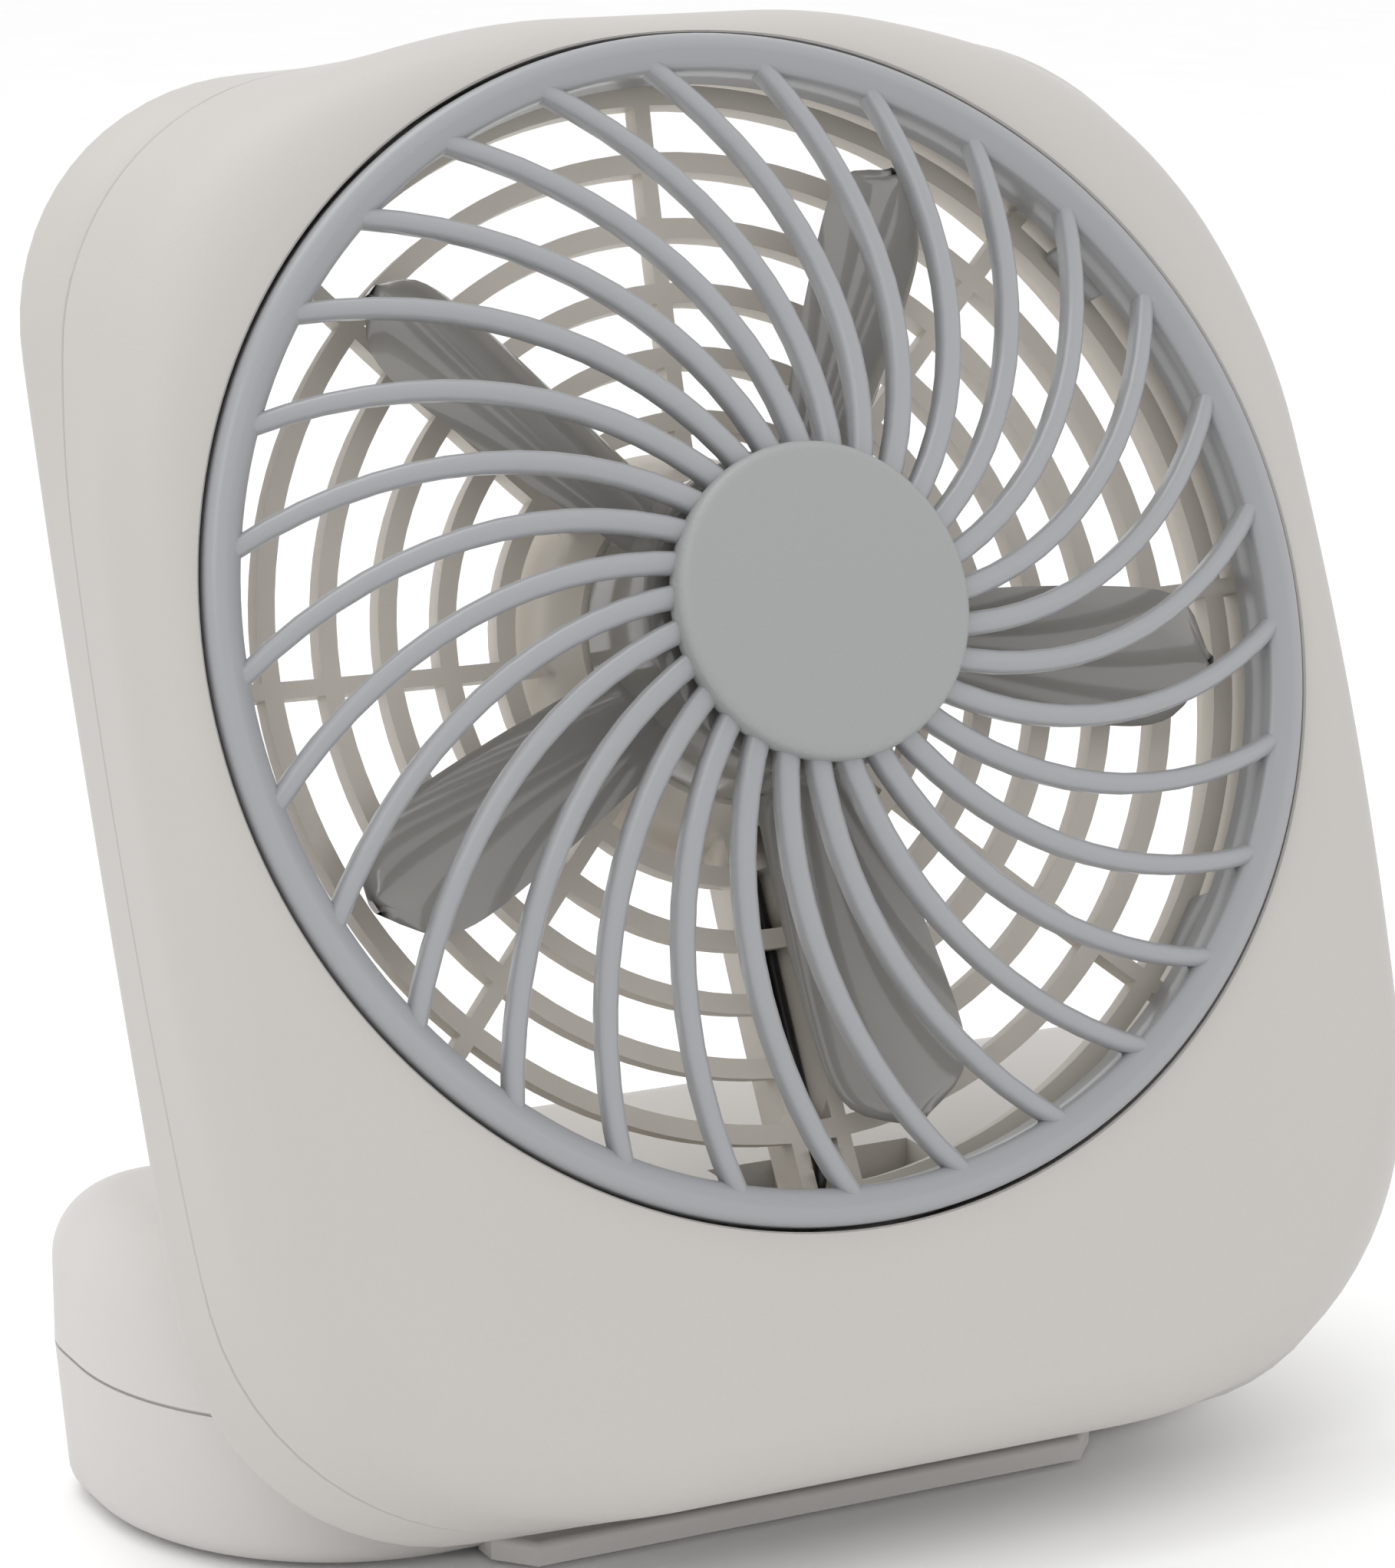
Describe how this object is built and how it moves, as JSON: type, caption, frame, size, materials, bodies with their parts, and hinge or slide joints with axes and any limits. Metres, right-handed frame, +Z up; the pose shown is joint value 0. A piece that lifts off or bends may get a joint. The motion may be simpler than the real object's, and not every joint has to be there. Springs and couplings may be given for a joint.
{
  "type": "desk fan",
  "caption": "Folding battery desk fan: a rounded square head with a round swirl grille leans back on a block base and folds flat over it.",
  "frame": {"origin": "on the table, under the middle of the fan's bounding box", "axes": "+X to the fan's right as seen from the front, -Y is the front, +Z up"},
  "size_m": [0.1606, 0.0848, 0.176],
  "materials": {
    "housing_white": "fine matt grain",
    "base_white": "fine matt grain",
    "grille_grey": "satin",
    "blade_grey": "gloss",
    "steel": "zinc plated",
    "bronze": "sintered",
    "copper": "bare",
    "dark_plastic": "matt",
    "ferrite": "matt",
    "lamination": "stamped",
    "retainer_white": "matt",
    "fibre": "vulcanised fibre",
    "cell_wrap": "printed wrap without print",
    "rubber": "matt",
    "wire_black": "extruded",
    "wire_cream": "extruded"
  },
  "bodies": {
    "base": {"base_upper": "base_white", "base_lower": "base_white", "hinge_pins": "steel", "friction_washers": "fibre", "battery_left": "cell_wrap", "battery_right": "cell_wrap", "contact_spring": "steel", "contact_plate": "steel", "switch_body": "dark_plastic", "power_jack": "dark_plastic", "base_screws": "steel", "rubber_feet": "rubber", "lead_black": "wire_black", "lead_cream": "wire_cream", "lead_switch": "wire_cream"},
    "head": {"front_housing": "housing_white", "rear_housing": "housing_white", "front_grille": "grille_grey", "motor_can": "steel", "motor_bushing": "bronze", "motor_end_cap": "dark_plastic", "motor_magnets": "ferrite", "motor_terminals": "copper", "motor_retainer": "retainer_white", "retainer_screws": "steel", "housing_screws": "steel", "wire_black": "wire_black", "wire_cream": "wire_cream"},
    "rotor": {"impeller": "blade_grey", "motor_shaft": "steel", "rotor_core": "lamination", "commutator": "copper"},
    "switch": {"switch_knob": "dark_plastic"},
    "door": {"battery_door": "base_white"}
  },
  "joints": [
    {"name": "head_tilt", "type": "hinge", "parent": "base", "child": "head", "pos_m": [0, -0.00414, 0.03], "axis": [-1, 0, 0], "range_deg": [-11, 67.8]},
    {"name": "impeller_spin", "type": "hinge", "parent": "head", "child": "rotor", "pos_m": [0, -0.00763, 0.10854], "axis": [0, -0.9259, 0.3778], "continuous": true},
    {"name": "switch_slide", "type": "slide", "parent": "base", "child": "switch", "axis": [0, 1, 0], "range_m": [-0.003, 0.003]},
    {"name": "battery_door_hinge", "type": "hinge", "parent": "base", "child": "door", "pos_m": [0, 0.03666, 0.002], "axis": [1, 0, 0], "range_deg": [0, 95]}
  ]
}
